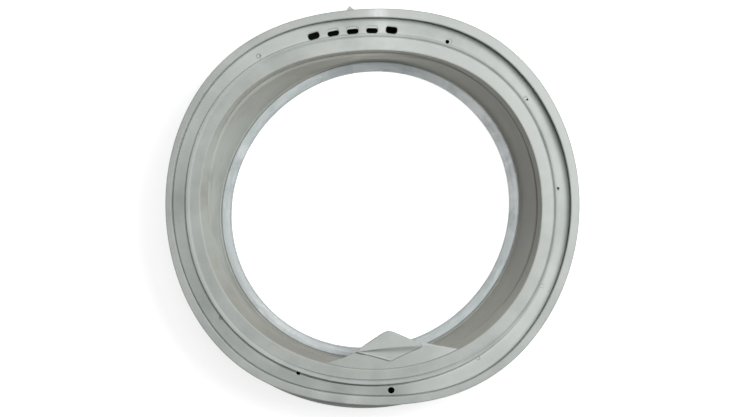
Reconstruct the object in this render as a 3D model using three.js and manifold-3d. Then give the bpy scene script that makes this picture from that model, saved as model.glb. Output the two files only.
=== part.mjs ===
import * as THREE from 'three';
import { mergeVertices } from 'three/addons/utils/BufferGeometryUtils.js';
import Module from 'manifold-3d';

const wasm = await Module();
wasm.setup();

// A washing machine door seal: one piece of moulded grey rubber that lies on its rear rim.
// Millimetres. The origin is on the drum opening's axis under the rear rim, +Z points to the door.
// Clock angles are degrees clockwise from +Y, the seal's top, seen from the door side.

// Widths of the rings, from the drum opening outwards
const openingRadius = 187;
const rearFaceWidth = 13;
const footLedge = 1.6;
const neckFlare = 11;
const ringSetback = 2.6;
const ringWidth = 20.4;
const channelWidth = 15;
const lipWidth = 11;
const foldReach = 23;

// Heights, most of them counted down from the door side
const sealDepth = 120;
const channelDepth = 17;
const ringDrop = 11.5;
const beadHeight = 3;
const skirtDepth = 15.5;
const throatGap = 4.5;
const foldDepth = 36;
const rearRimHeight = 12.4;
const rearFaceFall = 2;

// Walls and small forms
const wall = 2.7;
const ringThickness = 3.2;
const lipThickness = 3.6;
const edgeRound = 1.5;
const foldRound = 14;
const shoulderRound = 4.3;
const seatRound = 8;
const seatUndercut = 1.5;
const beadFoot = 4;
const beadRound = 0.9;
const skirtLean = 2;

// The groove for the cabinet's panel, under the lip
const panelGrooveDepth = 5;
const panelGrooveWidth = 3.4;
const flangeThickness = 2.4;
const flangeSetback = 1.2;

// The rear rim: a groove for the tub's edge below, and a seat for the clamp outside
const tubGrooveInset = 8.6;
const tubGrooveWidth = 3.4;
const tubGrooveDepth = 7.4;
const rearRimStep = 1;
const clampSeatDepth = 2.2;
const clampSeatLow = 4.4;
const clampSeatHigh = 9.6;

// The front isn't round. At each hour of the clock, from twelve: how far the ring bulges, and how much
// wider than its mean the channel is. The neck is slightly oval along one diagonal.
const ringBulges = [-14, -3, 3.5, 0, -1, -5.5, -12, -8, -1.5, 0, 5.5, -2];
const channelSwells = [5, 6, 1, 0.5, 0, 1, -4, 0.5, -2, -3.5, -3.5, 0.5];
const neckOval = 4.5;
const neckOvalClock = 48;

// Drain holes at the bead's foot, one for each hour except where the slots are
const drainCount = 12;
const drainStartClock = -6;
const drainRadius = 2.8;
const drainOffset = 2.4;
const mainDrainIndex = 6;
const mainDrainRadius = 4;
const mainDrainOffset = 6;
const drainRise = 2.6;
const drainSides = 10;

// Five slots in the channel at the top, each with a ledge along its outer half
const slotCount = 5;
const slotMiddleClock = -5.6;
const slotPitch = 6.2;
const slotLength = 15;
const slotWidth = 9.8;
const slotThroughWidth = 5.4;
const slotThroughInset = 0.4;
const slotOffset = 3.3;
const slotRound = 2.6;
const ledgeDepth = 1.3;

// The shelf and the deflector flap at the bottom
const flapClock = 172;
const shelfHalfAngle = 24.4;
const shelfHalfWidth = 44.5;
const shelfInset = 27;
const shelfDrop = 2;
const shelfThickness = 3;
const shelfSeat = 1.4;
const flapHalfWidth = 41.6;
const flapInset = 26;
const flapTipRise = 20.8;
const flapFootDrop = 15.2;
const flapTipRound = 7;
const flapLean = -2.8;
const flapThickness = 3.4;
const flapRidgeHeight = 4.4;
const flapFootHeight = 1.4;
const flapSeat = 1;

// The pointer on the lip's edge and the low rib on the neck, both near the top
const pointerClock = 354.3;
const pointerHalfWidth = 5;
const pointerReach = 5;
const pointerThickness = 1.6;
const pointerRoot = 3;
const pointerLift = 0.5;
const ribClock = 355;
const ribWidth = 8;
const ribHeight = 0.9;
const ribRoot = 1.2;
const ribEndGap = 5;

const turns = 60;
const sealColour = 0xaeb4ae;

const { clamp, degToRad, lerp, smoothstep } = THREE.MathUtils;

// Radii and heights of the section's corners
const rearFaceRadius = openingRadius + rearFaceWidth;
const footRadius = rearFaceRadius + footLedge;
const shoulderRadius = footRadius + neckFlare;
const ringEdgeRadius = shoulderRadius + ringSetback;
const crestRadius = ringEdgeRadius + ringWidth;
const lipEdgeRadius = crestRadius + channelWidth;
const lipRadius = lipEdgeRadius + lipWidth;
const foldRadius = crestRadius + foldReach;
const floorHeight = sealDepth - channelDepth;
const ceilingHeight = floorHeight - wall;
const ringHeight = sealDepth - ringDrop;
const ringUnderside = ringHeight - ringThickness;
const skirtHeight = ringHeight - skirtDepth;
const shoulderHeight = skirtHeight - throatGap;
const foldHeight = shoulderHeight - foldDepth;
const grooveTop = sealDepth - lipThickness;
const grooveBottom = grooveTop - panelGrooveWidth;
const wallTop = grooveBottom - flangeThickness - panelGrooveDepth / 2;
const footHeight = rearRimHeight + edgeRound * 2;

// A smooth closed curve through one value for each hour
function throughHours(values, clock) {
  const half = values.length / 2;
  let sum = 0;
  values.forEach((value, hour) => {
    const angle = degToRad(clock - hour * 360 / values.length);
    let weight = 1 + Math.cos(half * angle);
    for (let wave = 1; wave < half; wave += 1) {
      weight += 2 * Math.cos(wave * angle);
    }
    sum += value * weight / values.length;
  });
  return sum;
}

const ringShift = (clock) => throughHours(ringBulges, clock);
const lipShift = (clock) => ringShift(clock) + throughHours(channelSwells, clock);
const neckShift = (clock) => neckOval * Math.cos(2 * degToRad(clock - neckOvalClock));
const flapEdge = ringEdgeRadius + ringShift(flapClock);

function arc(centreRadius, centreHeight, radius, from, to, steps) {
  const points = [];
  for (let step = 0; step <= steps; step += 1) {
    const angle = degToRad(lerp(from, to, step / steps));
    points.push([centreRadius + radius * Math.cos(angle), centreHeight + radius * Math.sin(angle)]);
  }
  return points;
}

// The section is one closed line. Each point follows the lip's outline and the ring's by the shares
// that it carries, and the neck's by the rest.
const section = [];
function trace(points, lipShare, ringShare) {
  points.forEach(([radius, height]) => {
    section.push({ radius, height, lip: lipShare(radius, height), ring: ringShare(radius, height) });
  });
}
const none = () => 0;
const all = () => 1;

const foldCentreRadius = foldRadius - foldRound;
const foldCentreHeight = foldHeight + foldRound;
const shoulderCentreRadius = shoulderRadius + shoulderRound;
const shoulderCentreHeight = shoulderHeight - shoulderRound;
const valleyRound = shoulderRound - wall;

const channelShare = (radius) => clamp((radius - crestRadius) / channelWidth, 0, 1);
const restOfChannel = (radius) => 1 - channelShare(radius);
const wallShare = (radius, height) => smoothstep(height, foldCentreHeight, wallTop);
const neckShare = (radius, height) => (
  clamp((height - footHeight) / (shoulderCentreHeight - footHeight), 0, 1)
);

// The fold's lower limb touches the outer bend from below and the shoulder's arc from above
const bendGapRadius = foldCentreRadius - shoulderCentreRadius;
const bendGapHeight = shoulderCentreHeight - foldCentreHeight;
const bendGap = Math.hypot(bendGapRadius, bendGapHeight);
const limbTilt = Math.atan2(bendGapHeight, bendGapRadius) + Math.asin((foldRound + valleyRound) / bendGap);
const limbAngle = 90 - THREE.MathUtils.radToDeg(limbTilt);
const neckAngle = 180 - THREE.MathUtils.radToDeg(
  Math.atan2(neckFlare, shoulderCentreHeight - footHeight),
);

const wallRadiusAt = (height) => lerp(
  foldRadius,
  lipRadius - panelGrooveDepth,
  (height - foldCentreHeight) / (wallTop - foldCentreHeight),
);
function wallLine(inset, from, to, steps) {
  const points = [];
  for (let step = 0; step <= steps; step += 1) {
    const height = lerp(from, to, step / steps);
    points.push([wallRadiusAt(height) - inset, height]);
  }
  return points;
}

// Lip, panel groove and flange
trace([
  [lipRadius - edgeRound, sealDepth],
  [lipRadius, sealDepth - edgeRound],
  [lipRadius, grooveTop],
  [lipRadius - panelGrooveDepth, grooveTop],
  [lipRadius - panelGrooveDepth, grooveBottom],
  [lipRadius - flangeSetback, grooveBottom],
  [lipRadius - flangeSetback, grooveBottom - flangeThickness],
], all, none);

// Outside of the fold: down the wall, round the bend, up the limb and over the valley
trace(wallLine(0, wallTop, foldCentreHeight, 5), wallShare, none);
trace(arc(foldCentreRadius, foldCentreHeight, foldRound, 0, limbAngle - 180, 6).slice(1), none, none);
trace(arc(shoulderCentreRadius, shoulderCentreHeight, valleyRound, limbAngle, neckAngle, 2), none, all);

// Outside of the neck and the rear rim
const rearRimRadius = footRadius + wall + rearRimStep;
const tubGrooveInner = openingRadius + tubGrooveInset;
const tubGrooveOuter = tubGrooveInner + tubGrooveWidth;
trace([
  [footRadius + wall, footHeight + rearRimStep],
  [rearRimRadius, footHeight - rearRimStep],
  [rearRimRadius, clampSeatHigh + clampSeatDepth / 2],
  [rearRimRadius - clampSeatDepth, clampSeatHigh],
  [rearRimRadius - clampSeatDepth, clampSeatLow],
  [rearRimRadius, clampSeatLow - clampSeatDepth / 2],
  [rearRimRadius, edgeRound],
  [rearRimRadius - edgeRound, 0],
  [tubGrooveOuter, 0],
  [tubGrooveOuter, tubGrooveDepth],
  [tubGrooveInner, tubGrooveDepth],
  [tubGrooveInner, 0],
  [openingRadius + edgeRound, 0],
  [openingRadius, edgeRound],
  [openingRadius, rearRimHeight - rearFaceFall - edgeRound],
  [openingRadius + edgeRound, rearRimHeight - rearFaceFall],
  [rearFaceRadius, rearRimHeight],
  [rearFaceRadius, rearRimHeight + edgeRound],
  [footRadius, footHeight],
], none, none);

// Inside of the neck, over the shoulder, down into the pocket and up to its ceiling
trace(arc(shoulderCentreRadius, shoulderCentreHeight, shoulderRound, neckAngle, limbAngle, 5), none, all);
trace(arc(foldCentreRadius, foldCentreHeight, foldRound - wall, limbAngle - 180, 0, 5), none, none);
trace(wallLine(wall, foldCentreHeight, ceilingHeight - wall, 3).slice(1), wallShare, none);
trace([[wallRadiusAt(ceilingHeight) - wall * 2, ceilingHeight]], wallShare, none);

// Under the channel and the ring, and round the skirt
const skirtFootRadius = ringEdgeRadius - skirtLean;
const skirtTip = wall / 2;
trace([
  [lipEdgeRadius - wall, ceilingHeight],
  [crestRadius, ceilingHeight],
  [crestRadius - beadFoot, ringUnderside],
  [ringEdgeRadius + wall, ringUnderside],
  ...arc(skirtFootRadius + skirtTip, skirtHeight + skirtTip, skirtTip, 0, -180, 2),
], channelShare, restOfChannel);

// The ring's face, the bead round it and the channel
trace([
  ...arc(ringEdgeRadius + edgeRound, ringHeight - edgeRound, edgeRound, 180, 90, 2),
  [crestRadius - beadFoot, ringHeight],
  ...arc(crestRadius - beadRound, ringHeight + beadHeight - beadRound, beadRound, 130, 10, 2),
  [crestRadius + edgeRound, floorHeight],
], channelShare, restOfChannel);
const seatRadius = lipEdgeRadius + seatUndercut;
trace(
  arc(seatRadius - seatRound, floorHeight + seatRound, seatRound, -90, 0, 4),
  channelShare,
  restOfChannel,
);
trace([
  [seatRadius, grooveTop - seatUndercut],
  [lipEdgeRadius, grooveTop],
  [lipEdgeRadius, sealDepth - edgeRound],
  [lipEdgeRadius + edgeRound, sealDepth],
], all, none);

function asSolid(geometry) {
  geometry.deleteAttribute('normal');
  geometry.deleteAttribute('uv');
  const merged = mergeVertices(geometry);
  return new wasm.Manifold(new wasm.Mesh({
    numProp: 3,
    vertProperties: new Float32Array(merged.attributes.position.array),
    triVerts: new Uint32Array(merged.index.array),
  }));
}

// The section turned round the axis, with every point moved out or in by the outlines that it follows
function sweepSection() {
  const line = section.map(({ radius, height }) => new THREE.Vector2(radius, height));
  line.push(line[0].clone());
  const geometry = new THREE.LatheGeometry(line, turns);
  const position = geometry.attributes.position;
  for (let turn = 0; turn <= turns; turn += 1) {
    const clock = (turn % turns) * 360 / turns;
    const angle = degToRad(clock);
    const lipMove = lipShift(clock);
    const ringMove = ringShift(clock);
    const neckMove = neckShift(clock);
    for (let index = 0; index < line.length; index += 1) {
      const { radius, height, lip, ring } = section[index % section.length];
      const reach = radius + lip * lipMove + ring * ringMove + (1 - lip - ring) * neckMove;
      const vertex = turn * line.length + index;
      position.setXYZ(vertex, reach * Math.sin(angle), reach * Math.cos(angle), height);
    }
  }
  return asSolid(geometry);
}

// Turns a piece drawn at the bottom, with +Y towards the axis, to its place on the clock
function turned(geometry, clock, height) {
  geometry.rotateZ(degToRad(180 - clock));
  geometry.translate(0, 0, height);
  return asSolid(geometry);
}

function extruded(shape, depth, curveSegments) {
  return new THREE.ExtrudeGeometry(shape, { depth, curveSegments, bevelEnabled: false });
}

// Extrudes a side view, drawn inwards and upwards, across the piece's width
function extrudedAcross(shape, width) {
  const across = extruded(shape, width, 1);
  across.translate(0, 0, -width / 2);
  return across.applyMatrix4(new THREE.Matrix4().makeBasis(
    new THREE.Vector3(0, 1, 0),
    new THREE.Vector3(0, 0, 1),
    new THREE.Vector3(1, 0, 0),
  ));
}

function roundedBar(length, width, round, middleReach) {
  const x = length / 2;
  const low = -middleReach - width / 2;
  const high = -middleReach + width / 2;
  const shape = new THREE.Shape();
  shape.moveTo(-x + round, low);
  shape.lineTo(x - round, low);
  shape.absarc(x - round, low + round, round, -Math.PI / 2, 0);
  shape.lineTo(x, high - round);
  shape.absarc(x - round, high - round, round, 0, Math.PI / 2);
  shape.lineTo(-x + round, high);
  shape.absarc(-x + round, high - round, round, Math.PI / 2, Math.PI);
  shape.lineTo(-x, low + round);
  shape.absarc(-x + round, low + round, round, Math.PI, Math.PI * 1.5);
  return shape;
}

function drainCutter(index) {
  const clock = drainStartClock + index * 360 / drainCount;
  const main = index === mainDrainIndex;
  const radius = main ? mainDrainRadius : drainRadius;
  const offset = main ? mainDrainOffset : drainOffset;
  const height = wall * 2 + drainRise;
  const pin = new THREE.CylinderGeometry(radius, radius, height, drainSides);
  pin.rotateX(Math.PI / 2);
  pin.rotateZ(Math.PI / drainSides);
  pin.translate(0, -(crestRadius + ringShift(clock) + offset), height / 2);
  return turned(pin, clock, floorHeight - wall * 2);
}

function slotCutters(index) {
  const clock = slotMiddleClock + (index - (slotCount - 1) / 2) * slotPitch;
  const innerReach = crestRadius + ringShift(clock) + slotOffset;
  const through = roundedBar(
    slotLength - slotThroughInset * 2,
    slotThroughWidth,
    slotRound - slotThroughInset,
    innerReach + slotThroughInset + slotThroughWidth / 2,
  );
  const ledge = roundedBar(slotLength, slotWidth, slotRound, innerReach + slotWidth / 2);
  return [
    turned(extruded(through, wall * 2, 3), clock, floorHeight - wall * 2),
    turned(extruded(ledge, seatRound, 3), clock, floorHeight - ledgeDepth),
  ];
}

// A flat web between the ring's inner edge and the flap, a little below the ring's face
function shelf() {
  const shape = new THREE.Shape();
  const steps = 8;
  const shelfReach = flapEdge - shelfInset;
  shape.moveTo(-shelfHalfWidth, -shelfReach);
  for (let step = 0; step <= steps; step += 1) {
    const side = lerp(-shelfHalfAngle, shelfHalfAngle, step / steps);
    const reach = ringEdgeRadius + ringShift(flapClock - side) + shelfSeat;
    shape.lineTo(reach * Math.sin(degToRad(side)), -reach * Math.cos(degToRad(side)));
  }
  shape.lineTo(shelfHalfWidth, -shelfReach);
  return turned(extruded(shape, shelfThickness, 1), flapClock, ringHeight - shelfDrop - shelfThickness);
}

// A plate with four corners and a ridge between its side corners. Its tip hangs over the opening.
function flap() {
  const outline = new THREE.Shape();
  const tipShare = 1 - flapTipRound / flapTipRise;
  outline.moveTo(-flapHalfWidth, 0);
  outline.lineTo(0, -flapFootDrop);
  outline.lineTo(flapHalfWidth, 0);
  outline.lineTo(flapHalfWidth * (1 - tipShare), flapTipRise * tipShare);
  outline.quadraticCurveTo(0, flapTipRise, -flapHalfWidth * (1 - tipShare), flapTipRise * tipShare);
  const plate = asSolid(extruded(outline, flapThickness + flapRidgeHeight, 4));

  const side = new THREE.Shape();
  const foot = -flapFootDrop - flapSeat;
  const tip = flapTipRise + flapSeat;
  side.moveTo(foot, 0);
  side.lineTo(tip, 0);
  side.lineTo(tip, flapThickness);
  side.lineTo(0, flapRidgeHeight);
  side.lineTo(foot, flapFootHeight);
  const roof = asSolid(extrudedAcross(side, (flapHalfWidth + flapSeat) * 2));
  return plate.intersect(roof)
    .rotate([0, 0, flapLean])
    .translate([0, flapInset - flapEdge, ringHeight - shelfDrop - flapSeat])
    .rotate([0, 0, 180 - flapClock]);
}

function pointer() {
  const lipEdge = lipRadius + lipShift(pointerClock);
  const shape = new THREE.Shape();
  shape.moveTo(-pointerHalfWidth, -lipEdge + pointerRoot);
  shape.lineTo(-pointerHalfWidth, -lipEdge);
  shape.lineTo(0, -lipEdge - pointerReach);
  shape.lineTo(pointerHalfWidth, -lipEdge);
  shape.lineTo(pointerHalfWidth, -lipEdge + pointerRoot);
  return turned(extruded(shape, pointerThickness, 1), pointerClock, grooveTop + pointerLift);
}

// A low strip that runs down the neck's inside and stops short of the shoulder and the foot
function rib() {
  const low = footHeight + ribEndGap;
  const high = shoulderCentreHeight - ribEndGap;
  const faceAt = (height) => {
    const share = neckShare(0, height);
    const shift = lerp(neckShift(ribClock), ringShift(ribClock), share);
    return lerp(footRadius, shoulderRadius, share) + shift;
  };
  const shape = new THREE.Shape();
  shape.moveTo(-faceAt(low) - ribRoot, low);
  shape.lineTo(-faceAt(low) + ribHeight, low);
  shape.lineTo(-faceAt(high) + ribHeight, high);
  shape.lineTo(-faceAt(high) - ribRoot, high);
  return turned(extrudedAcross(shape, ribWidth), ribClock, 0);
}

let seal = sweepSection();
for (let index = 1; index < drainCount; index += 1) {
  seal = seal.subtract(drainCutter(index));
}
for (let index = 0; index < slotCount; index += 1) {
  slotCutters(index).forEach((cutter) => {
    seal = seal.subtract(cutter);
  });
}
seal = seal.add(shelf()).add(flap()).add(pointer()).add(rib());

const mesh = seal.getMesh();
const geometry = new THREE.BufferGeometry();
geometry.setAttribute('position', new THREE.BufferAttribute(mesh.vertProperties, 3));
geometry.setIndex(new THREE.BufferAttribute(mesh.triVerts, 1));
geometry.computeVertexNormals();

const doorSeal = new THREE.Mesh(
  geometry,
  new THREE.MeshStandardMaterial({ color: sealColour, roughness: 0.55, metalness: 0 }),
);
doorSeal.name = 'door_seal';

const part = new THREE.Group();
part.add(doorSeal);

export default part;
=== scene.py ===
import math

import bmesh
import bpy
from mathutils import Matrix, Vector, noise


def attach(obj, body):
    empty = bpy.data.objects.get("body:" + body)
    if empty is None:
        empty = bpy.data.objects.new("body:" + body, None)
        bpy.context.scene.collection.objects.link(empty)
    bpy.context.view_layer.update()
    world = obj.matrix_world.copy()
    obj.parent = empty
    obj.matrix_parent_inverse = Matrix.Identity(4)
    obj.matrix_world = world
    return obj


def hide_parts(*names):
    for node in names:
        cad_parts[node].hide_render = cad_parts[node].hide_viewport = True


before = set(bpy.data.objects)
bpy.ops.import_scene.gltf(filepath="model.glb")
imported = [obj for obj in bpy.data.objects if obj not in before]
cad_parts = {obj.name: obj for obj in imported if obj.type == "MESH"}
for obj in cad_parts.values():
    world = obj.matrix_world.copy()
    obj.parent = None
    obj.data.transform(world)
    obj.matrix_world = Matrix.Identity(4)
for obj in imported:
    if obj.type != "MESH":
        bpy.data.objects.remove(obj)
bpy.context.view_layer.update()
print("frame loaded")

mm = 0.001          # sizes are written in millimetres
clockwise = -1      # clock angles run clockwise from +Y, seen from the door

# The moulding's finishes
doorSide, outside, polished, neckSide, pocketSide = range(5)


def linear(hexColour):
    channels = [int(hexColour[k:k + 2], 16) / 255 for k in (0, 2, 4)]
    return [c / 12.92 if c <= 0.04045 else ((c + 0.055) / 1.055) ** 2.4 for c in channels] + [1]


def addNode(tree, kind, sockets=None, **settings):
    node = tree.nodes.new("ShaderNode" + kind)
    for key, value in settings.items():
        setattr(node, key, value)
    for socket, value in (sockets or {}).items():
        if isinstance(value, bpy.types.NodeSocket):
            tree.links.new(value, node.inputs[socket])
        else:
            node.inputs[socket].default_value = value
    return node


# EPDM rubber, compression moulded: a dull even grey with faint clouds, paler rubbed edges and painted shade
# in the creases. Sizes are in millimetres. A patch is a place of painted light, shade or highlight: x, y and
# height, reach, strength, colour and roughness.
rubberLooks = {
    doorSide: {     # even satin grey; its patches are painted highlights on the lip and the channel, and painted light on the ring at the top
        "name": "satin moulded rubber",
        "dark": "aeb4b0", "pale": "c2c7c3", "rubbed": "cdd1ce", "creaseShade": "626466",
        "cloudSize": 55, "speckSize": 3, "grainSize": 1.4, "grainHeight": 0.04, "gloss": (0.4, 0.58),
        "rubbing": 0.5, "creaseShadeReach": 3.5, "creaseShadeStrength": 0.85, "streaks": 0, "channelPaintedLight": 0.55,
        "patches": [
            (11, 246, 120, 15, 0.7, "e6e9e8", 0.25), (16, 232, 103, 12, 0.5, "e6e9e8", 0.25),
            (0, 190, 108, 75, 0.5, "d8dcd9", 0.45),
            (-22, -240, 120, 14, 0.35, "dfe2e1", 0.3), (-60, -232, 120, 14, 0.3, "dfe2e1", 0.3),
        ],
    },
    outside: {      # duller, with the pale bloom of stored rubber
        "name": "moulded rubber with bloom",
        "dark": "a9b0ab", "pale": "bfc5bf", "rubbed": "ccd1cc", "creaseShade": "62635e",
        "cloudSize": 80, "speckSize": 4, "grainSize": 1.6, "grainHeight": 0.05, "gloss": (0.5, 0.7),
        "rubbing": 0.5, "creaseShadeReach": 4, "creaseShadeStrength": 0.6, "streaks": 0, "channelPaintedLight": 0, "patches": [],
    },
    polished: {     # the rear ring's cooler gloss, with marks that run round it; its patches are a painted glint in the upper left, painted highlight and painted shade in the lower left, and painted light on the right
        "name": "rubber polished by its mould",
        "dark": "a9b1b3", "pale": "b9c1c2", "rubbed": "d8dddc", "creaseShade": "6a7071",
        "cloudSize": 40, "speckSize": 2, "grainSize": 3, "grainHeight": 0.05, "gloss": (0.2, 0.4),
        "rubbing": 0.3, "creaseShadeReach": 3, "creaseShadeStrength": 0.7, "streaks": 0.5, "channelPaintedLight": 0,
        "patches": [
            (-166, 75, 12, 14, 0.6, "f0f2f1", 0.2), (-170, -85, 12, 60, 0.4, "a9b0b0", 0.35),
            (-110, -150, 12, 40, 0.25, "e2e5e4", 0.25), (165, 80, 12, 150, 0.85, "eef2f3", 0.3),
        ],
    },
    neckSide: {     # warmer and matt, painted paler on the left and at the top and darker on the right and lower left, as light and shade
        "name": "matt dusted rubber",
        "dark": "a3a49b", "pale": "b6b7ae", "rubbed": "c2c4bc", "creaseShade": "4f4c44",
        "cloudSize": 60, "speckSize": 3, "grainSize": 1.6, "grainHeight": 0.05, "gloss": (0.55, 0.75),
        "rubbing": 0.4, "creaseShadeReach": 6, "creaseShadeStrength": 0.8, "streaks": 0, "channelPaintedLight": 0,
        "patches": [
            (-205, 30, 60, 190, 0.95, "bfc5be", 0.5), (205, 60, 60, 170, 0.9, "8f8d87", 0.6),
            (-80, -185, 60, 90, 0.6, "94938c", 0.6), (0, 205, 60, 60, 0.3, "c2c5bf", 0.5),
        ],
    },
    pocketSide: {   # painted nearly black as shade, so that slots and drains read as holes, with painted sheens in the first and the last slot
        "name": "rubber painted dark with the fold's shade",
        "dark": "1e1f1c", "pale": "30312d", "rubbed": "3b3c38", "creaseShade": "141412",
        "cloudSize": 30, "speckSize": 4, "grainSize": 2, "grainHeight": 0.08, "gloss": (0.6, 0.8),
        "rubbing": 0.2, "creaseShadeReach": 6, "creaseShadeStrength": 0.5, "streaks": 0, "channelPaintedLight": 0,
        "patches": [(-74, 218, 84, 22, 0.5, "70716d", 0.5), (27, 228, 84, 18, 0.35, "5f605c", 0.5)],
    },
}

# The part of a noise or a measure that each effect takes up. The channel's is a height in metres, and the
# painted light's side is x times y, which is negative in the upper left and in the lower right.
spans = {
    "clouds": (0.35, 0.65), "specks": (0.6, 0.75), "streaks": (0.5, 0.7), "gloss": (0.3, 0.7),
    "patches": (0.3, 0.5), "edges": (0.52, 0.6), "creases": (0.8, 0.4),
    "channel": (0.1082, 0.1072), "paintedLightSide": (-0.006, -0.022),
}
speckStrength = 0.3
channelLightColour = "dfe3e0"      # painted light on the channel floor in its upper left and lower right


def rubber(look):
    material = bpy.data.materials.new(look["name"])
    material.use_nodes = True
    tree = material.node_tree
    tree.nodes.clear()
    place = addNode(tree, "TexCoord").outputs["Object"]

    def cloud(size, detail, vector=place):      # size is one blotch
        return addNode(tree, "TexNoise", {
            "Vector": vector, "Scale": 1 / (size * mm), "Detail": detail, "Roughness": 0.55,
        }).outputs["Fac"]

    def between(value, low, high, toLow=0.0, toHigh=1.0):
        return addNode(tree, "MapRange", {
            "Value": value, "From Min": low, "From Max": high, "To Min": toLow, "To Max": toHigh,
        }).outputs["Result"]

    def blend(factor, first, second):
        return addNode(tree, "Mix", {0: factor, 6: first, 7: second}, data_type="RGBA").outputs[2]

    def times(first, second):
        return addNode(tree, "Math", {0: first, 1: second}, operation="MULTIPLY").outputs[0]

    clouds = cloud(look["cloudSize"], 3)
    specks = cloud(look["speckSize"], 2)
    split = addNode(tree, "SeparateXYZ", {"Vector": place})
    colour = blend(between(clouds, *spans["clouds"]), linear(look["dark"]), linear(look["pale"]))
    colour = blend(between(specks, *spans["specks"], 0, speckStrength), colour, linear(look["rubbed"]))
    if look["streaks"]:
        # polishing marks run round the ring: the noise is stretched along the clock
        sockets = {0: split.outputs["Y"], 1: split.outputs["X"]}
        around = addNode(tree, "Math", sockets, operation="ARCTAN2").outputs[0]
        around = between(around, -math.pi, math.pi, 0, 0.24)
        reach = addNode(tree, "VectorMath", {0: place}, operation="LENGTH").outputs["Value"]
        marks = cloud(5, 4, addNode(tree, "CombineXYZ", {"X": around, "Y": reach}).outputs[0])
        colour = blend(between(marks, *spans["streaks"], 0, look["streaks"]), colour, linear(look["rubbed"]))
    glossy = between(clouds, *spans["gloss"], *look["gloss"])
    # patches of painted light, shade and highlight, with their own roughness
    for x, y, height, reach, strength, shade, roughness in look["patches"]:
        away = addNode(tree, "VectorMath", {0: place, 1: Vector((x, y, height)) * mm}, operation="DISTANCE")
        inside = between(away.outputs["Value"], reach * mm, reach * 0.3 * mm, 0, strength)
        patch = times(inside, between(specks if reach < 20 else clouds, *spans["patches"], 0.3, 1))
        colour = blend(patch, colour, linear(shade))
        glossy = addNode(tree, "Mix", {0: patch, 2: glossy, 3: roughness}).outputs[0]
    # painted light: the channel floor is paler in its upper left and lower right
    if look["channelPaintedLight"]:
        deep = between(split.outputs["Z"], *spans["channel"])
        side = times(split.outputs["X"], split.outputs["Y"])
        paintedLightSide = between(side, *spans["paintedLightSide"], 0, look["channelPaintedLight"])
        colour = blend(times(deep, paintedLightSide), colour, linear(channelLightColour))
    bend = addNode(tree, "NewGeometry").outputs["Pointiness"]
    colour = blend(between(bend, *spans["edges"], 0, look["rubbing"]), colour, linear(look["rubbed"]))
    # painted shade: darker in creases and narrow gaps, where the ambient occlusion finds close faces
    openness = addNode(
        tree, "AmbientOcclusion", {"Distance": look["creaseShadeReach"] * mm}, samples=8, only_local=True)
    creaseShade = between(openness.outputs["AO"], *spans["creases"], 0, look["creaseShadeStrength"])
    colour = blend(creaseShade, colour, linear(look["creaseShade"]))
    grain = cloud(look["grainSize"], 3)
    bumps = addNode(tree, "Bump", {
        "Height": grain, "Distance": look["grainHeight"] * mm, "Strength": 1.0,
    }).outputs["Normal"]
    shader = addNode(tree, "BsdfPrincipled", {
        "Base Color": colour, "Roughness": glossy, "Normal": bumps, "IOR": 1.5,
    })
    addNode(tree, "OutputMaterial", {"Surface": shader.outputs[0]})
    return material


finishes = [rubber(rubberLooks[finish]) for finish in range(len(rubberLooks))]
print("rubber mixed:", len(finishes), "finishes")

# The moulding's section, from the drum opening outwards and from the floor up
seal = {
    "turns": 236,
    "openingRadius": 187, "rearFaceWidth": 13, "footLedge": 1.6, "neckFlare": 11,
    "ringSetback": 2.6, "ringWidth": 20.4, "channelWidth": 15, "lipWidth": 11, "foldReach": 23,
    "depth": 120, "channelDepth": 17, "floorRise": 2.6, "floorFall": 0.2, "seatFall": 1.7,
    "ringDrop": 11.5, "skirtDepth": 15.5, "throatGap": 4.5, "foldDepth": 36,
    "rearRimHeight": 12.4, "rearFaceFall": 2,
    "wall": 2.7, "ringThickness": 3.2, "lipThickness": 3.6, "foldRound": 14, "shoulderRound": 4.3,
    "seatStart": 0.4, "seatUndercut": 3.8, "beadFoot": 4, "beadWidth": 5, "beadRound": 0.8, "skirtLean": 2,
    "grooveDepth": 5, "grooveWidth": 3.4, "flangeThickness": 2.4, "flangeSetback": 1.2,
    "tubGrooveInset": 8.6, "tubGrooveWidth": 3.4, "tubGrooveDepth": 7.4, "rimStep": 1,
    "clampSeatDepth": 2.2, "clampSeatLow": 4.4, "clampSeatHigh": 9.6,
    "dustEnds": 84, "darkStarts": 78,       # degrees on the shoulder's round, from the outside up: where the neck's finish ends and the pocket's painted shade starts
    "longestStep": 6,       # no side of the section is longer
    "handmade": 0.35,       # how far soft rubber strays from its drawn line
    "waveAround": 2.2, "waveHeight": 30,    # waves of that straying: more round the seal, and how tall one is
    "sharpAngle": 50,       # edges sharper than this stay sharp
}

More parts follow.
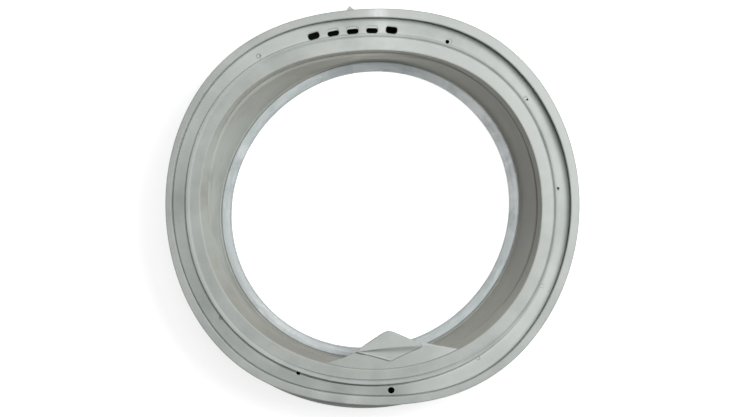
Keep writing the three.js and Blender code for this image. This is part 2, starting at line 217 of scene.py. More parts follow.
# The outline at each hour from twelve: how far the ring bulges and how much the channel widens, how far the
# ring's inner edge, the lip's inner edge, the skirt's foot, the bead's inner foot, the neck's shoulder and
# the lip's outer edge lie outwards by themselves, how much higher the bead and the floor beside it are, and
# how high the grooves on the bead's two sides are (negative is deep)
outline = {
    "ring": [-13.6, -2.4, 4.1, 1.3, -0.1, -7.2, -13.6, -9.5, -3.4, -2, 3.8, -4.2],
    "channel": [4.6, 5.4, 0.4, -0.8, -0.9, 2.7, -2.4, 2, -0.1, -1.5, -1.8, 2.7],
    "ringInner": [-0.4, -0.6, 0.2, 0.8, 1.3, 0.8, 1.2, -0.7, -0.1, 1.7, 0.8, -1.3],
    "lipInner": [0, -1.4, 0.1, 1.8, 2, 2, 0.5, 0, 0.3, 2.2, 1.1, 0.5],
    "skirtFoot": [1.6, 0.4, -1, -1, -4, -4.5, -2, -4, -6.5, -6.7, -2.2, 0.8],
    "beadInner": [1, 1.2, 1.2, 1.2, 1.2, 0.4, 0, 0.5, 0, -0.5, -0.5, 0.6],
    "shoulder": [-2.4, -0.8, -0.6, -1.2, -3, -4, -3, -4, -5.5, -6, -5.2, -4.2],
    "lipOuter": [0, 0.4, 1.3, 1.6, 1.5, 0.6, 0.5, -0.5, -0.6, -1.1, -1.2, -0.6],
    "bead": [2.6, 3, 3.2, 3.4, 3, 1.6, 1.6, 1.5, 1.3, 1.2, 0.8, 1.3],
    "floor": [0, 0, 0, 0, 0, 0, 0.2, 0.2, 0.6, 1.2, 1.8, 1],
    "footGroove": [-0.3, 0, 0, 0, 0, -0.6, -1.2, -1.2, -0.4, -0.2, 0, -0.2],
    "ringGroove": [-0.1, -0.2, -0.3, -0.3, -0.2, -0.8, -1, -0.7, 0, 0, 0, -0.5],
    "neckOval": 4.5,
    "neckOvalClock": 48,
}
shiftNames = ("ringInner", "lipInner", "skirtFoot", "beadInner", "shoulder", "lipOuter")
riseNames = ("bead", "floor", "footGroove", "ringGroove")


def throughHours(values, clock):
    half = len(values) // 2
    total = 0
    for hour, value in enumerate(values):
        angle = math.radians(clock - hour * 360 / len(values))
        weight = 1 + math.cos(half * angle)
        weight += sum(2 * math.cos(wave * angle) for wave in range(1, half))
        total += value * weight / len(values)
    return total


def shiftsAt(clock):
    ring = throughHours(outline["ring"], clock)
    lip = ring + throughHours(outline["channel"], clock)
    neck = outline["neckOval"] * math.cos(2 * math.radians(clock - outline["neckOvalClock"]))
    return lip, ring, neck


def mix(low, high, share):
    return low + (high - low) * share


def clamp(value):
    return max(0, min(1, value))


def smooth(value):
    value = clamp(value)
    return value * value * (3 - 2 * value)


def placeAt(radius, clock, height):
    angle = math.radians(clock)
    return Vector((radius * math.sin(angle), radius * math.cos(angle), height)) * mm


def arc(centreRadius, centreHeight, radius, start, end, steps):
    angles = [math.radians(mix(start, end, step / steps)) for step in range(steps + 1)]
    return [(centreRadius + radius * math.cos(a), centreHeight + radius * math.sin(a)) for a in angles]


rearFace = seal["openingRadius"] + seal["rearFaceWidth"]
foot = rearFace + seal["footLedge"]
shoulder = foot + seal["neckFlare"]
ringEdge = shoulder + seal["ringSetback"]
crest = ringEdge + seal["ringWidth"]
lipEdge = crest + seal["channelWidth"]
lip = lipEdge + seal["lipWidth"]
fold = crest + seal["foldReach"]
floorHeight = seal["depth"] - seal["channelDepth"]
ceiling = floorHeight - seal["wall"]
ringHeight = seal["depth"] - seal["ringDrop"]
ringUnderside = ringHeight - seal["ringThickness"]
skirtHeight = ringHeight - seal["skirtDepth"]
seatEdge = lipEdge + seal["seatUndercut"]
floorEnd = lipEdge + seal["seatStart"]
shoulderHeight = skirtHeight - seal["throatGap"]
grooveTop = seal["depth"] - seal["lipThickness"]
grooveBottom = grooveTop - seal["grooveWidth"]
wallTop = grooveBottom - seal["flangeThickness"] - seal["grooveDepth"] / 2
footHeight = seal["rearRimHeight"] + 3
foldCentre = (fold - seal["foldRound"], shoulderHeight - seal["foldDepth"] + seal["foldRound"])
shoulderCentre = (shoulder + seal["shoulderRound"], shoulderHeight - seal["shoulderRound"])
valleyRound = seal["shoulderRound"] - seal["wall"]


# The channel's floor falls outwards, away from the bead
def floorAt(radius):
    share = clamp((radius - crest) / (floorEnd - crest))
    return floorHeight + mix(seal["floorRise"], -seal["floorFall"], share)


# The section as one closed line of corners: radius, height, rounding, shares and the finish of the face
# after it. The shares say how far a corner follows the lip's and the ring's outlines (the rest follows the
# neck's), and each of the named shifts and rises.
def sectionCorners():
    corners = []

    def trace(points, lipShare, ringShare, finish, **moves):
        own = [moves.get(name, 0) for name in shiftNames + riseNames]
        for point in points:
            radius, height = point[:2]
            rounding = point[2] if len(point) > 2 else 0
            shares = (lipShare(radius, height), ringShare(radius, height), *own)
            corners.append((radius, height, rounding, shares, finish))

    none = lambda radius, height: 0
    full = lambda radius, height: 1
    channelShare = lambda radius, height: clamp((radius - crest) / seal["channelWidth"])
    restOfChannel = lambda radius, height: 1 - channelShare(radius, height)
    wallShare = lambda radius, height: smooth((height - foldCentre[1]) / (wallTop - foldCentre[1]))
    gap = Vector((foldCentre[0] - shoulderCentre[0], shoulderCentre[1] - foldCentre[1]))
    tilt = math.atan2(gap.y, gap.x) + math.asin((seal["foldRound"] + valleyRound) / gap.length)
    limbAngle = 90 - math.degrees(tilt)
    neckAngle = 180 - math.degrees(math.atan2(seal["neckFlare"], shoulderCentre[1] - footHeight))
    wallAt = lambda height: mix(
        fold, lip - seal["grooveDepth"], (height - foldCentre[1]) / (wallTop - foldCentre[1]))

    # lip, panel groove and flange
    trace([
        (lip, seal["depth"], 1.6), (lip, grooveTop, 0.8), (lip - seal["grooveDepth"], grooveTop, 0.4),
        (lip - seal["grooveDepth"], grooveBottom, 0.4), (lip - seal["flangeSetback"], grooveBottom, 0.6),
        (lip - seal["flangeSetback"], grooveBottom - seal["flangeThickness"], 0.8),
    ], full, none, outside, lipOuter=1)
    # down the outer wall, round the fold and up its lower limb
    steps = 12
    heights = [mix(wallTop, foldCentre[1], step / steps) for step in range(steps + 1)]
    trace([(wallAt(h), h, 2.5 if h == wallTop else 0) for h in heights], wallShare, none, outside)
    trace(arc(*foldCentre, seal["foldRound"], 0, limbAngle - 180, 22)[1:], none, none, outside)
    trace(arc(*shoulderCentre, valleyRound, limbAngle, neckAngle, 6), none, full, outside, shoulder=1)
    # the rear rim with the clamp's seat and the tub's groove
    rim = foot + seal["wall"] + seal["rimStep"]
    seat = rim - seal["clampSeatDepth"]
    grooveInner = seal["openingRadius"] + seal["tubGrooveInset"]
    grooveOuter = grooveInner + seal["tubGrooveWidth"]
    trace([
        (foot + seal["wall"], footHeight + 1, 2), (rim, footHeight - 1, 0.8),
        (rim, seal["clampSeatHigh"] + 1.1, 0.5), (seat, seal["clampSeatHigh"], 0.5),
        (seat, seal["clampSeatLow"], 0.5), (rim, seal["clampSeatLow"] - 1.1, 0.5), (rim, 0, 1.5),
        (grooveOuter, 0, 0.5), (grooveOuter, seal["tubGrooveDepth"], 0.4),
        (grooveInner, seal["tubGrooveDepth"], 0.4), (grooveInner, 0, 0.5),
    ], none, none, outside)
    middle = seal["openingRadius"] + seal["rearFaceWidth"] / 2
    edge = seal["rearRimHeight"]
    trace([
        (seal["openingRadius"], 0, 1.5), (seal["openingRadius"], edge - seal["rearFaceFall"], 2.2),
        (middle, edge - 0.6, 12), (rearFace - 1.4, edge + 0.1, 0.5), (rearFace - 1.1, edge - 0.8, 0.3),
    ], none, none, polished)
    trace([
        (rearFace - 0.1, edge - 0.8, 0.3), (rearFace, edge + 1.5, 0.6), (foot, footHeight, 2),
    ], none, none, neckSide)
    # up the neck, over its shoulder, down into the pocket and up to its ceiling; the pocket's faces are
    # painted dark as shade
    trace(
        arc(*shoulderCentre, seal["shoulderRound"], neckAngle, seal["dustEnds"], 10),
        none, full, neckSide, shoulder=1,
    )
    trace(
        arc(*shoulderCentre, seal["shoulderRound"], seal["darkStarts"], limbAngle, 4),
        none, full, pocketSide, shoulder=1,
    )
    trace(arc(*foldCentre, seal["foldRound"] - seal["wall"], limbAngle - 180, 0, 16), none, none, pocketSide)
    steps = 8
    top = ceiling - seal["wall"]
    heights = [mix(foldCentre[1], top, step / steps) for step in range(1, steps + 1)]
    trace([(wallAt(h) - seal["wall"], h) for h in heights], wallShare, none, pocketSide)
    trace([(wallAt(ceiling) - seal["wall"] * 2, ceiling - 1)], wallShare, none, pocketSide)
    # under the channel and the ring, and round the skirt
    tip = seal["wall"] / 2
    skirtFoot = ringEdge - seal["skirtLean"]
    trace([
        (lipEdge - seal["wall"], ceiling - 1), (crest, ceiling, 2),
        (crest - seal["beadFoot"], ringUnderside, 2),
    ], channelShare, restOfChannel, pocketSide)
    trace(
        [(ringEdge + seal["wall"], ringUnderside, 1.5)],
        channelShare, restOfChannel, pocketSide, ringInner=1,
    )
    trace(
        arc(skirtFoot + tip, skirtHeight + tip, tip, 0, -180, 6),
        channelShare, restOfChannel, neckSide, ringInner=1, skirtFoot=1,
    )
    # the ring's face, its bead and the channel
    trace([(ringEdge, ringHeight, 2.2)], channelShare, restOfChannel, doorSide, ringInner=1)
    beadStart = crest - seal["beadWidth"]
    for reach, groove in ((1.7, 0), (1.3, 0.6), (0.9, 1), (0.5, 0.9), (0.1, 0.2)):
        trace(
            [(beadStart - reach, ringHeight)], channelShare, restOfChannel, doorSide,
            ringGroove=groove, beadInner=1,
        )
    for reach, rise in ((0.4, 0.12), (1, 0.4), (1.6, 0.72), (2.2, 0.93), (2.8, 1)):
        trace(
            [(beadStart + reach, ringHeight)], channelShare, restOfChannel, doorSide,
            bead=rise, beadInner=1,
        )
    bead = seal["beadRound"]
    trace(
        arc(crest - bead, ringHeight - bead, bead, 85, 0, 5),
        channelShare, restOfChannel, doorSide, bead=1,
    )
    trace([(crest + 0.5, floorAt(crest + 0.5), 0.3)], channelShare, restOfChannel, doorSide, floor=1)
    for reach, groove in ((1.0, 0.5), (1.4, 0.9), (1.8, 1.0), (2.2, 0.9), (2.6, 0.5), (3.1, 0.0)):
        floorShare = 1 - reach / (floorEnd - crest)
        trace(
            [(crest + reach, floorAt(crest + reach))],
            channelShare, restOfChannel, doorSide, floor=floorShare, footGroove=groove,
        )
    trace([(floorEnd, floorAt(floorEnd), 1)], channelShare, restOfChannel, doorSide, lipInner=1)
    seatBottom = floorAt(floorEnd) - seal["seatFall"]
    trace([
        (floorEnd + 1.8, seatBottom, 0.8), (seatEdge, seatBottom, 0.8), (seatEdge, seatBottom + 4, 3),
        (lipEdge + 1.5, grooveTop - 1.5, 0.6),
        (lipEdge, grooveTop, 0.6), (lipEdge, seal["depth"], 1.5),
    ], full, none, doorSide, lipInner=1)
    return corners


def mixAll(first, second, share):
    return tuple(mix(a, b, share) for a, b in zip(first, second))


# The corners with their roundings, and no side longer than the longest step
def sectionLine(corners, arcSteps=5):
    line = []
    for index, (radius, height, rounding, shares, finish) in enumerate(corners):
        if not rounding:
            line.append((radius, height, shares, finish))
            continue
        here = Vector((radius, height))
        before, after = corners[index - 1], corners[(index + 1) % len(corners)]
        back, ahead = Vector(before[:2]) - here, Vector(after[:2]) - here
        half = back.angle(ahead) / 2
        reach = min(rounding / math.tan(half), back.length * 0.45, ahead.length * 0.45)
        turnRadius = reach * math.tan(half)
        start, end = back.normalized() * reach, ahead.normalized() * reach
        centre = here + (start + end).normalized() * turnRadius / math.sin(half)
        spoke = here + start - centre
        side = 1 if spoke.cross(here + end - centre) > 0 else -1
        startShares = mixAll(shares, before[3], reach / back.length)
        endShares = mixAll(shares, after[3], reach / ahead.length)
        for step in range(arcSteps + 1):
            share = step / arcSteps
            point = centre + Matrix.Rotation(side * (math.pi - 2 * half) * share, 2) @ spoke
            sideFinish = finish if share > 0.5 else before[4]
            line.append((point.x, point.y, mixAll(startShares, endShares, share), sideFinish))
    full = []
    for index, (radius, height, shares, finish) in enumerate(line):
        following = line[(index + 1) % len(line)]
        length = math.dist((radius, height), following[:2])
        parts = max(1, math.ceil(length / seal["longestStep"]))
        for part in range(parts):
            share = part / parts
            place = mixAll((radius, height), following[:2], share)
            full.append((*place, mixAll(shares, following[2], share), finish))
    return full


def newObject(name, points, faces, materials, faceSlots=None):
    mesh = bpy.data.meshes.new(name)
    mesh.from_pydata(points, [], faces)
    for material in materials:
        mesh.materials.append(material)
    for index, slot in enumerate(faceSlots or []):
        mesh.polygons[index].material_index = slot
    piece = bpy.data.objects.new(name, mesh)
    bpy.context.scene.collection.objects.link(piece)
    return piece


def sweepSection(name):
    line = sectionLine(sectionCorners())
    turns, count = seal["turns"], len(line)
    points, faces, faceFinishes = [], [], []
    for turn in range(turns):
        clock = turn * 360 / turns
        lipShift, ringShift, neckShift = shiftsAt(clock)
        angle = math.radians(clock)
        ripple = Vector((math.sin(angle), math.cos(angle), 0)) * seal["waveAround"]
        shifts = [throughHours(outline[name], clock) for name in shiftNames]
        rises = [throughHours(outline[name], clock) for name in riseNames]
        for radius, height, (lipShare, ringShare, *own), finish in line:
            reach = radius + lipShare * lipShift + ringShare * ringShift
            reach += (1 - lipShare - ringShare) * neckShift
            reach += sum(share * shift for share, shift in zip(own, shifts))
            height += sum(share * rise for share, rise in zip(own[len(shifts):], rises))
            soft = noise.noise(ripple + Vector((0, 0, height / seal["waveHeight"])))
            soft = soft * seal["handmade"] * clamp(height / 20)
            points.append(placeAt(reach + soft, clock, height))
    for turn in range(turns):
        this, following = turn * count, (turn + 1) % turns * count
        for index in range(count):
            after = (index + 1) % count
            faces.append((this + index, this + after, following + after, following + index))
            faceFinishes.append(line[index][3])
    print("section of", count, "points,", len(faces), "faces")
    return newObject(name, points, faces, finishes, faceFinishes)


# A closed form between loops of equally many points, with flat ends
def loft(loops):
    count = len(loops[0])
    points = [point for loop in loops for point in loop]
    faces = [tuple(reversed(range(count)))]
    for level in range(len(loops) - 1):
        for index in range(count):
            after = (index + 1) % count
            low, high = level * count, (level + 1) * count
            faces.append((low + index, low + after, high + after, high + index))
    faces.append(tuple(range(len(points) - count, len(points))))
    return points, faces


# A closed form between two grids of points, one above the other
def closedSheet(top, bottom):
    rows, columns = len(top), len(top[0])
    points = [p for row in top for p in row] + [p for row in bottom for p in row]
    under = rows * columns
    faces = []
    for row in range(rows - 1):
        for column in range(columns - 1):
            a = row * columns + column
            faces.append((a, a + 1, a + columns + 1, a + columns))
            faces.append(tuple(under + i for i in (a + columns, a + columns + 1, a + 1, a)))
    rim = list(range(columns))
    rim += [row * columns + columns - 1 for row in range(1, rows)]
    rim += [(rows - 1) * columns + column for column in range(columns - 2, -1, -1)]
    rim += [row * columns for row in range(rows - 2, 0, -1)]
    for index, here in enumerate(rim):
        after = rim[(index + 1) % len(rim)]
        faces.append((here, under + here, under + after, after))
    return points, faces


def joined(name, parts, finish):
    points, faces = [], []
    for partPoints, partFaces in parts:
        start = len(points)
        points += partPoints
        faces += [tuple(start + index for index in face) for face in partFaces]
    piece = newObject(name, points, faces, finishes, [finish] * len(faces))
    tidyNormals(piece)
    return piece


def tidyNormals(piece):
    form = bmesh.new()
    form.from_mesh(piece.data)
    bmesh.ops.recalc_face_normals(form, faces=form.faces)
    form.to_mesh(piece.data)
    form.free()


def cutOrJoin(piece, other, operation):
    cut = piece.modifiers.new(operation.lower(), "BOOLEAN")
    cut.object, cut.operation, cut.solver = other, operation, "EXACT"
    made = bpy.data.meshes.new_from_object(piece.evaluated_get(bpy.context.evaluated_depsgraph_get()))
    piece.modifiers.clear()
    piece.data = made
    bpy.data.objects.remove(other)
    print(operation.lower(), "leaves", len(made.polygons), "faces")


# Drain holes in the channel: clock, distance outwards from the bead's crest, radius, and the depth of the
# moulding skin that closes the hole (0 is open). Six were never opened, and four opened only in part: a
# skin with a smaller open hole in it.
drains = {
    "holes": [
        (25.2, 4.6, 3.4, 1.2), (24.8, 3.9, 2.4, 0), (54.4, 2.8, 2.6, 1.3), (55, 3.8, 1.1, 0),
        (83.7, 2.0, 2.4, 1.6), (83.6, 2.8, 1.3, 0), (114, 2.3, 2.5, 1), (144, 2.6, 2.8, 1.4),
        (173.3, 8.6, 4, 0), (203.9, 3.1, 3.2, 1), (203.7, 2, 2.6, 0), (234, 2.1, 2.8, 1.9),
        (264, 3.2, 1.6, 0.3), (294, 3.2, 1.6, 0.3), (324, 6.4, 2.9, 1.9),
    ],
    "rise": 2.6, "sides": 28, "softEdge": 0.5,
    "firstSide": 0.37,      # shares of a side that the polygon is turned by
    "edgeAngles": (0.5, 1.0, 1.4),      # radians on the soft edge's round
}


def drainCutter(clock, offset, radius, skinDepth):
    centre = placeAt(crest + shiftsAt(clock)[1] + offset, clock, 0)
    edge = drains["softEdge"]
    floorRise = throughHours(outline["floor"], clock)
    around = floorAt(crest + offset) + floorRise * (1 - offset / (floorEnd - crest))
    bottom = around - (skinDepth or seal["wall"] * 3)
    levels = [(radius, bottom), (radius, around - edge)]
    for angle in drains["edgeAngles"]:
        levels.append((radius + edge * (1 - math.cos(angle)), around - edge + edge * math.sin(angle)))
    levels.append((radius + edge, around + drains["rise"]))
    loops = []
    for reach, height in levels:
        angles = [2 * math.pi * (k + drains["firstSide"]) / drains["sides"] for k in range(drains["sides"])]
        spokes = [Vector((reach * math.cos(a), reach * math.sin(a), height)) for a in angles]
        loops.append([centre + spoke * mm for spoke in spokes])
    return loft(loops)


# Five slots in the channel at the top. The ledge is the shallow step along a slot's outer half, and the
# first and the last slot are open nearly all over.
slots = {
    "middleClock": -5.6, "pitch": 6.2, "length": 15, "width": 9.8, "throughWidths": [8.6, 6.6, 6.6, 6.6, 8.8],
    "offset": 1.6, "outerRound": 3.2, "innerRound": 3.8, "ledgeDepth": 1.5, "softEdge": 0.5, "rise": 6,
    "inset": 0.3, "overlap": 0.8,       # of the through cut inside the ledge, and up into it
}


# A rounded bar across the clock, with its own roundings towards the door's centre and away from it
def barLoop(clock, length, width, innerRound, outerRound, middle, height):
    points = []
    corners = (
        (1, 1, 0, outerRound), (-1, 1, 90, outerRound),
        (-1, -1, 180, innerRound), (1, -1, 270, innerRound),
    )
    for sideX, sideY, start, rounding in corners:
        for step in range(7):
            angle = math.radians(start + step * 15)
            x = sideX * (length / 2 - rounding) + rounding * math.cos(angle)
            y = sideY * (width / 2 - rounding) + rounding * math.sin(angle)
            points.append((x, y))
    turn = Matrix.Rotation(math.radians(clockwise * clock), 3, "Z")
    return [turn @ Vector((x, middle + y, height)) * mm for x, y in points]


def slotCutters(index):
    throughWidth = slots["throughWidths"][index]
    clock = slots["middleClock"] + (index - (len(slots["throughWidths"]) - 1) / 2) * slots["pitch"]
    inner = crest + shiftsAt(clock)[1] + slots["offset"]
    inset, edge = slots["inset"], slots["softEdge"]
    throughMiddle = inner + inset + throughWidth / 2
    ledgeMiddle = inner + slots["width"] / 2
    around = floorAt(crest + slots["offset"] + slots["width"] / 2)
    ledgeHeight = around - slots["ledgeDepth"]
    through = []
    rounding = min(slots["innerRound"], throughWidth * 0.48)
    for height in (around - seal["wall"] * 3, ledgeHeight + slots["overlap"]):
        length = slots["length"] - inset * 2
        through.append(barLoop(clock, length, throughWidth, rounding, rounding * 0.8, throughMiddle, height))
    ledge = []
    for grow, height in ((0, ledgeHeight), (0, around - edge), (edge * 0.3, around - edge * 0.3),
                         (edge, around), (edge * 1.5, around + slots["rise"])):
        ledge.append(barLoop(clock, slots["length"] + grow * 2, slots["width"] + grow * 2,
                             slots["innerRound"] + grow, slots["outerRound"] + grow, ledgeMiddle, height))
    return loft(through), loft(ledge)


# The shelf between the ring's inner edge and the flap, and the deflector flap on it
flap = {
    "clock": 172, "halfWidth": 41.6, "inset": 24.7, "tipRise": 23.6, "footDrop": 15.2, "tipRound": 5,
    "lean": -2.8, "ridgeHeight": 6.6, "tipHeight": 3.8, "footHeight": 2.2, "underside": -1,
    "facetDrop": 4.5, "facetReach": (2.5, 7.5),     # how far the lower facet falls, within so few mm
    "rimHeight": 0.7, "rimWidth": 1.5, "softEdge": 0.8, "ridgeRound": 0.6,
    "edgeBulge": 0.7, "ridgeBow": 1.2,      # how far the edges and the ridge swell in their middles
}
shelf = {
    "halfAngle": 24.4, "innerHalfWidth": 44.5, "innerInset": 25.7, "drop": 2, "thickness": 3, "seat": 1.4,
    "softEdge": 0.7, "hollow": 1.6, "rightHollow": 0.2, "endInset": 0.8,
    "endShare": 0.17, "middleShare": 0.66,      # the inner edge's slanting ends and straight middle
}
flapEdge = ringEdge + shiftsAt(flap["clock"])[1]
shelfTop = ringHeight - shelf["drop"]


def turnedToFlap(x, y, height):
    turn = Matrix.Rotation(math.radians(180 + clockwise * flap["clock"]), 3, "Z")
    return turn @ Vector((x, y, height)) * mm


def edgeDrop(distance, edge):
    left = clamp(1 - distance / edge)
    return edge * (1 - math.sqrt(1 - left * left))


def shelfSheet():
    columns, rows = 60, [0, 0.06, 0.14, 0.25, 0.4, 0.6, 0.8, 1]
    top, bottom = [], []
    for column in range(columns + 1):
        share = column / columns
        side = mix(-shelf["halfAngle"], shelf["halfAngle"], share)
        reach = ringEdge + shiftsAt(flap["clock"] - side)[1] + shelf["seat"]
        outer = Vector((reach * math.sin(math.radians(side)), -reach * math.cos(math.radians(side))))
        level = shelf["innerInset"] - flapEdge
        across = clamp((share - shelf["endShare"]) / shelf["middleShare"])
        inner = Vector((mix(-1, 1, across) * shelf["innerHalfWidth"], level))
        toCorner = 1 - clamp(min(share, 1 - share) / shelf["endShare"])
        endSide = -shelf["halfAngle"] if share < 0.5 else shelf["halfAngle"]
        endReach = ringEdge + shiftsAt(flap["clock"] - endSide)[1] + shelf["seat"] - shelf["endInset"]
        endAngle = math.radians(endSide)
        end = Vector((endReach * math.sin(endAngle), -endReach * math.cos(endAngle)))
        inner = inner.lerp(end, toCorner)
        bow = math.sin(math.pi * toCorner) * shelf["hollow"] * (1 if share < 0.5 else shelf["rightHollow"])
        inner.y -= bow
        span = (outer - inner).length
        topRow, bottomRow = [], []
        for row in rows:
            point = inner.lerp(outer, row)
            fall = edgeDrop(row * span, shelf["softEdge"])
            topRow.append(turnedToFlap(point.x, point.y, shelfTop - fall))
            bottomRow.append(turnedToFlap(point.x, point.y, shelfTop - shelf["thickness"] + fall * 0.6))
        top.append(topRow)
        bottom.append(bottomRow)
    return closedSheet(top, bottom)


def flapSheet():
    lean = Matrix.Rotation(math.radians(flap["lean"]), 2)
    lowRows = [0, 0.03, 0.07, 0.12, 0.2, 0.32, 0.45, 0.57, 0.67, 0.75, 0.81, 0.86, 0.9, 0.935, 0.97, 1]
    highRows = [0.04, 0.1, 0.25, 0.45, 0.65, 0.8, 0.9, 0.96, 1]
    columns = 72
    top, bottom = [], []
    for column in range(columns + 1):
        across = math.sin(math.radians(mix(-90, 90, column / columns)))     # closer together at the corners
        x = across * flap["halfWidth"]
        left = 1 - abs(across)
        bulge = flap["edgeBulge"] * math.sqrt(max(0, 1 - across ** 8))
        lowEdge = -flap["footDrop"] * left - bulge
        blunt = flap["tipRound"] / flap["halfWidth"]
        highEdge = flap["tipRise"] * (1 - math.sqrt(across ** 2 + blunt ** 2) + blunt * 0.35)
        highEdge = max(highEdge, 0) + bulge
        ridge = flap["ridgeBow"] * (1 - across ** 2)
        facetReach = mix(*flap["facetReach"], smooth((across + 0.9) / 1.2)) * min(1, left * 4)
        topRow, bottomRow = [], []
        for y in [mix(lowEdge, ridge, r) for r in lowRows] + [mix(ridge, highEdge, r) for r in highRows]:
            up, down = (y - ridge) / flap["tipRise"], (ridge - y) / flap["footDrop"]
            height = flap["ridgeHeight"] - max(up, 0) * (flap["ridgeHeight"] - flap["tipHeight"])
            facet = 1 - (1 - clamp((ridge - y) / max(facetReach, 0.2))) ** 1.6
            height -= flap["facetDrop"] * facet * min(1, left * 3)
            height -= max(down, 0) * (flap["ridgeHeight"] - flap["facetDrop"] - flap["footHeight"])
            height -= flap["ridgeRound"] * 0.3 * math.exp(-((y - ridge) / flap["ridgeRound"]) ** 2)
            slope = math.cos(math.atan2(flap["footDrop"], flap["halfWidth"]))
            toLow, toHigh = (y - lowEdge) * slope, (highEdge - y) * slope
            fromRim = (toLow - flap["rimWidth"] / 2) / flap["rimWidth"] * 2
            height += flap["rimHeight"] * math.exp(-fromRim ** 2) * left
            height -= edgeDrop(min(toLow, toHigh), flap["softEdge"])
            point = lean @ Vector((x, y))
            point.y += flap["inset"] - flapEdge
            topRow.append(turnedToFlap(point.x, point.y, shelfTop + height))
            bottomRow.append(turnedToFlap(point.x, point.y, shelfTop + flap["underside"]))
        top.append(topRow)
        bottom.append(bottomRow)
    return closedSheet(top, bottom)


# The pointer on the lip's edge, and the low rib that runs down the neck's inside
pointer = {
    "clock": 354.3, "halfWidth": 5, "reach": 5, "thickness": 1.6, "root": 3, "lift": 0.5,
    "tip": 0.5, "bevel": 0.3,
}
rib = {"clock": 354.6, "width": 12, "height": 0.7, "root": 1.2, "footGap": 34, "headGap": -1, "softEdge": 0.5}


def pointerWedge():
    edge = lip + shiftsAt(pointer["clock"])[0] + throughHours(outline["lipOuter"], pointer["clock"])
    turn = Matrix.Rotation(math.radians(clockwise * pointer["clock"]), 3, "Z")
    wide, root, reach, tip = (pointer[k] for k in ("halfWidth", "root", "reach", "tip"))
    shape = [
        (-wide, -root), (wide, -root), (wide, 0), (tip * 1.6, reach - tip), (tip, reach - tip * 0.3),
        (0, reach), (-tip, reach - tip * 0.3), (-tip * 1.6, reach - tip), (-wide, 0),
    ]
    base, bevel, thickness = grooveTop + pointer["lift"], pointer["bevel"], pointer["thickness"]
    loops = []
    for inset, height in ((bevel, 0), (0, bevel), (0, thickness - bevel), (bevel, thickness)):
        left = 1 - inset / reach
        loops.append([turn @ Vector((x * left, edge + y * left, base + height)) * mm for x, y in shape])
    return loft(loops)


def ribStrip():
    lowHeight = footHeight + rib["footGap"]
    highHeight = shoulderCentre[1] - rib["headGap"]
    _, ringShift, neckShift = shiftsAt(rib["clock"])
    shoulderReach = shoulder + ringShift + throughHours(outline["shoulder"], rib["clock"])
    turn = Matrix.Rotation(math.radians(clockwise * rib["clock"]), 3, "Z")
    top, bottom = [], []
    for level in [0, 0.01, 0.03, 0.2, 0.4, 0.6, 0.8, 0.97, 0.99, 1]:
        height = mix(lowHeight, highHeight, level)
        share = clamp((height - footHeight) / (shoulderCentre[1] - footHeight))
        face = mix(foot + neckShift, shoulderReach, share)
        edgeLevel = edgeDrop(min(level, 1 - level) * (highHeight - lowHeight), rib["softEdge"])
        topRow, bottomRow = [], []
        for across in (-1, -0.96, -0.85, -0.5, 0, 0.5, 0.85, 0.96, 1):
            x = across * rib["width"] / 2
            fall = max(edgeLevel, edgeDrop((1 - abs(across)) * rib["width"] / 2, rib["softEdge"]))
            topRow.append(turn @ Vector((x, face - rib["height"] + fall, height)) * mm)
            bottomRow.append(turn @ Vector((x, face + rib["root"], height)) * mm)
        top.append(topRow)
        bottom.append(bottomRow)
    return closedSheet(top, bottom)


bellows = sweepSection("rubber_bellows")
tidyNormals(bellows)
slotForms = [slotCutters(index) for index in range(len(slots["throughWidths"]))]
opened = [drainCutter(*hole) for hole in drains["holes"] if not hole[3]]
closed = [drainCutter(*hole) for hole in drains["holes"] if hole[3]]
# the holes' walls take the pocket's painted shade
throughHoles = joined("throughHoles", opened + [through for through, _ in slotForms], pocketSide)
cutOrJoin(bellows, throughHoles, "DIFFERENCE")
cutOrJoin(bellows, joined("ledges", closed + [ledge for _, ledge in slotForms], doorSide), "DIFFERENCE")
cutOrJoin(bellows, joined("shelfForm", [shelfSheet()], doorSide), "UNION")
cutOrJoin(bellows, joined("flapForm", [flapSheet()], doorSide), "UNION")
cutOrJoin(bellows, joined("pointerForm", [pointerWedge()], doorSide), "UNION")
cutOrJoin(bellows, joined("ribForm", [ribStrip()], neckSide), "UNION")
bellows.data.shade_smooth()
bellows.data.set_sharp_from_angle(angle=math.radians(seal["sharpAngle"]))
weighted = bellows.modifiers.new("faces stay flat", "WEIGHTED_NORMAL")
weighted.keep_sharp = True
print("moulding made")

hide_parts("door_seal")
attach(bellows, "root")
print("rubber finished")

# The studio: a white floor, a soft lamp from the upper right, a weak one overhead and an even sky
studio = {
    "floorSize": 12, "floorColour": "dcdcdc", "floorRoughness": 0.9, "floorLift": 0.8, "sky": 0.06,
    "lamps": [
        {"name": "soft lamp", "place": (0.45, 0.25, 1.2), "power": 10.4, "size": 0.5},
        {"name": "overhead lamp", "place": (0.05, 0.25, 1.7), "power": 4.2, "size": 0.5},
    ],
    "lampsAim": (0, 0, 0.1),
    "cameraPlace": (0.0063, 0.0013, 1.62), "seenWidth": 0.942, "seenFrom": 1.5,
}


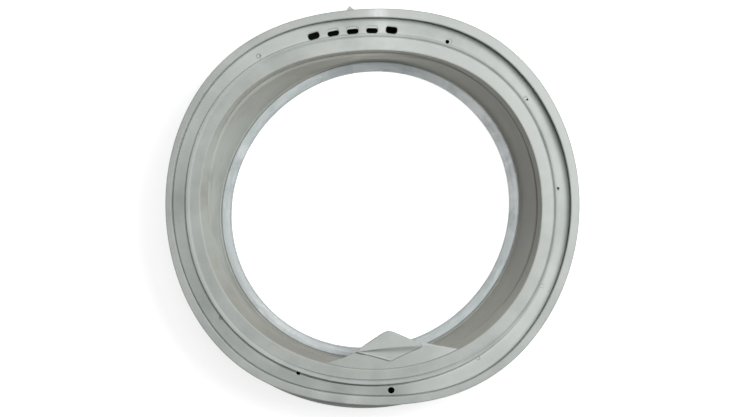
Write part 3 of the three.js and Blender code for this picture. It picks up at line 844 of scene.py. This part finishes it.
# 1 for what the camera sees, also in a shine or through something clear, and 0 for the light on the seal
def whiteToEye(tree):
    rays = addNode(tree, "LightPath").outputs
    sockets = {0: rays["Is Camera Ray"], 1: rays["Is Glossy Ray"]}
    seen = addNode(tree, "Math", sockets, operation="MAXIMUM").outputs[0]
    sockets = {0: seen, 1: rays["Is Transmission Ray"]}
    return addNode(tree, "Math", sockets, operation="MAXIMUM").outputs[0]


half = studio["floorSize"] / 2
paint = bpy.data.materials.new("white studio floor")
paint.use_nodes = True
tree = paint.node_tree
tree.nodes.clear()
lift = addNode(tree, "Math", {0: whiteToEye(tree), 1: studio["floorLift"]}, operation="MULTIPLY").outputs[0]
surface = addNode(tree, "BsdfPrincipled", {
    "Base Color": linear(studio["floorColour"]), "Roughness": studio["floorRoughness"],
    "Specular IOR Level": 0.0,      # a plain paper floor, without any shine
    "Emission Color": (1, 1, 1, 1), "Emission Strength": lift,
})
addNode(tree, "OutputMaterial", {"Surface": surface.outputs[0]})
floor = newObject("studio_floor", [(-half, -half, 0), (half, -half, 0), (half, half, 0), (-half, half, 0)],
                  [(0, 1, 2, 3)], [paint])

world = bpy.data.worlds.new("even sky")
bpy.context.scene.world = world
world.use_nodes = True
tree = world.node_tree
tree.nodes.clear()
strength = addNode(tree, "Mix", {0: whiteToEye(tree), 2: studio["sky"], 3: 1.0}).outputs[0]
sky = addNode(tree, "Background", {"Color": (1, 1, 1, 1), "Strength": strength})
addNode(tree, "OutputWorld", {"Surface": sky.outputs[0]})

for row in studio["lamps"]:
    light = bpy.data.lights.new(row["name"], "AREA")
    light.energy, light.size = row["power"], row["size"]
    lamp = bpy.data.objects.new(row["name"], light)
    lamp.location = row["place"]
    lamp.visible_camera = False
    lamp.rotation_euler = (Vector(studio["lampsAim"]) - lamp.location).to_track_quat("-Z", "Y").to_euler()
    bpy.context.scene.collection.objects.link(lamp)

camera = bpy.data.objects.new("camera", bpy.data.cameras.new("camera"))
camera.data.lens = camera.data.sensor_width * studio["seenFrom"] / studio["seenWidth"]
camera.location = studio["cameraPlace"]
bpy.context.scene.collection.objects.link(camera)
bpy.context.scene.camera = camera
bpy.context.scene.view_settings.view_transform = "Standard"
print("studio set")
